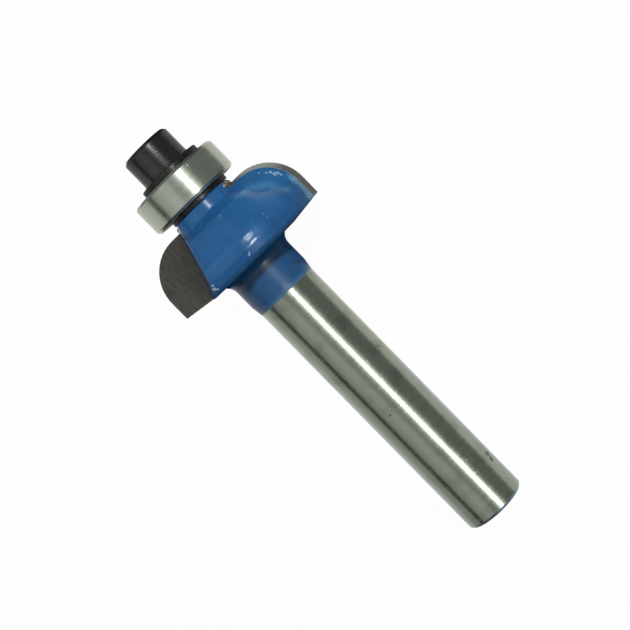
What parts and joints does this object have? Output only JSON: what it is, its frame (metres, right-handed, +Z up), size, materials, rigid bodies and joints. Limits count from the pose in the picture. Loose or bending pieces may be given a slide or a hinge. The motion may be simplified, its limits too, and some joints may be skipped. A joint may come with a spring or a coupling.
{
  "type": "router bit",
  "caption": "Two-winged carbide cove router bit with a round shank and a ball-bearing guide on its tip.",
  "frame": {"origin": "centre of the bounding box's underside, on the flat surface that the bit lies on", "axes": "+Z up; +X along the bit towards its tip, so the shank points to -X and slopes down by 6.7 degrees; +Y to the side"},
  "size_m": [0.0474, 0.017, 0.0142],
  "materials": {
    "painted_body": "glossy blue paint on the head and neck, bare ground steel on the shank",
    "carbide": "fine ground, dark grey",
    "braze": "dull golden braze",
    "cage_steel": "satin",
    "shield_steel": "satin pressed sheet",
    "bearing_steel": "ground, slightly satin",
    "black_oxide": "black oxide, satin"
  },
  "bodies": {
    "bit": {"bearing_inner_ring": "bearing_steel", "bit_body": "painted_body", "braze_1": "braze", "braze_2": "braze", "cap_screw": "black_oxide", "carbide_tip_1": "carbide", "carbide_tip_2": "carbide", "front_washer": "black_oxide", "rear_washer": "black_oxide"},
    "guide": {"bearing_outer_ring": "bearing_steel", "bearing_shield_1": "shield_steel", "bearing_shield_2": "shield_steel", "bearing_snap_ring_1": "shield_steel", "bearing_snap_ring_2": "shield_steel"},
    "ball_set": {"bearing_ball_1": "bearing_steel", "bearing_ball_2": "bearing_steel", "bearing_ball_3": "bearing_steel", "bearing_ball_4": "bearing_steel", "bearing_ball_5": "bearing_steel", "bearing_ball_6": "bearing_steel", "bearing_ball_7": "bearing_steel", "bearing_ball_8": "bearing_steel", "bearing_cage": "cage_steel"}
  },
  "joints": [
    {"name": "guide_spin", "type": "hinge", "parent": "bit", "child": "guide", "pos_m": [0.01815, 0, 0.00802], "axis": [0.9931, 0, 0.1171], "continuous": true},
    {"name": "ball_set_spin", "type": "hinge", "parent": "bit", "child": "ball_set", "pos_m": [0.01815, 0, 0.00802], "axis": [0.9931, 0, 0.1171], "continuous": true}
  ],
  "couplings": [
    {"joint": "ball_set_spin", "follows": "guide_spin", "ratio": 0.61111}
  ]
}
